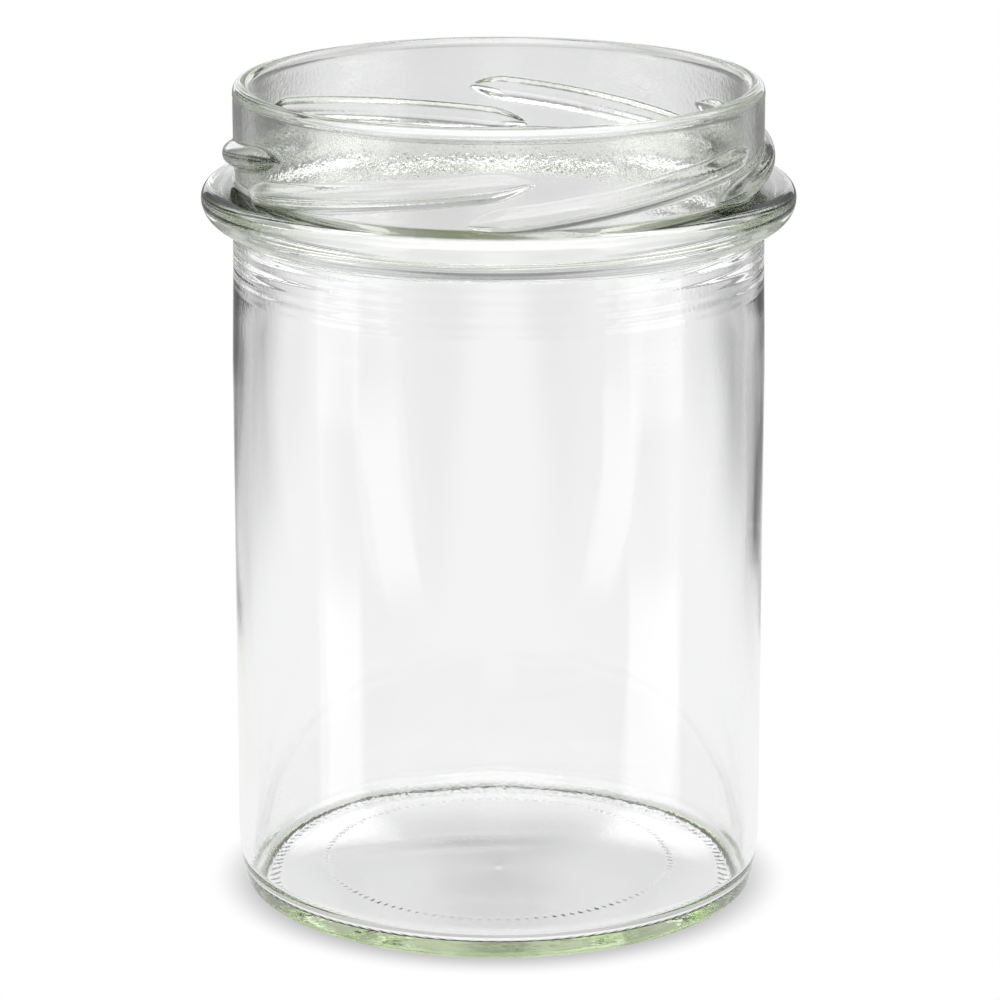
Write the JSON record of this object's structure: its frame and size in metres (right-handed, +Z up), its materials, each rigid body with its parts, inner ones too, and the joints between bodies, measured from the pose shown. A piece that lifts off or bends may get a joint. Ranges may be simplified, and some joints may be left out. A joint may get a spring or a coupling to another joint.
{
  "type": "glass jar",
  "caption": "Straight-sided clear glass storage jar with a wide mouth, a six-start lug thread, a transfer bead and a pushed-up base.",
  "frame": {"origin": "centre of the foot, on the plane that the jar rests on", "axes": "+Z up along the jar's axis, out of the mouth; -Y is the front, midway between two lugs' middles"},
  "size_m": [0.0886, 0.0886, 0.124],
  "materials": {
    "glass": "clear soda-lime glass, faintly green where it is thick"
  },
  "bodies": {
    "root": {"glass_jar": "glass"}
  },
  "joints": []
}
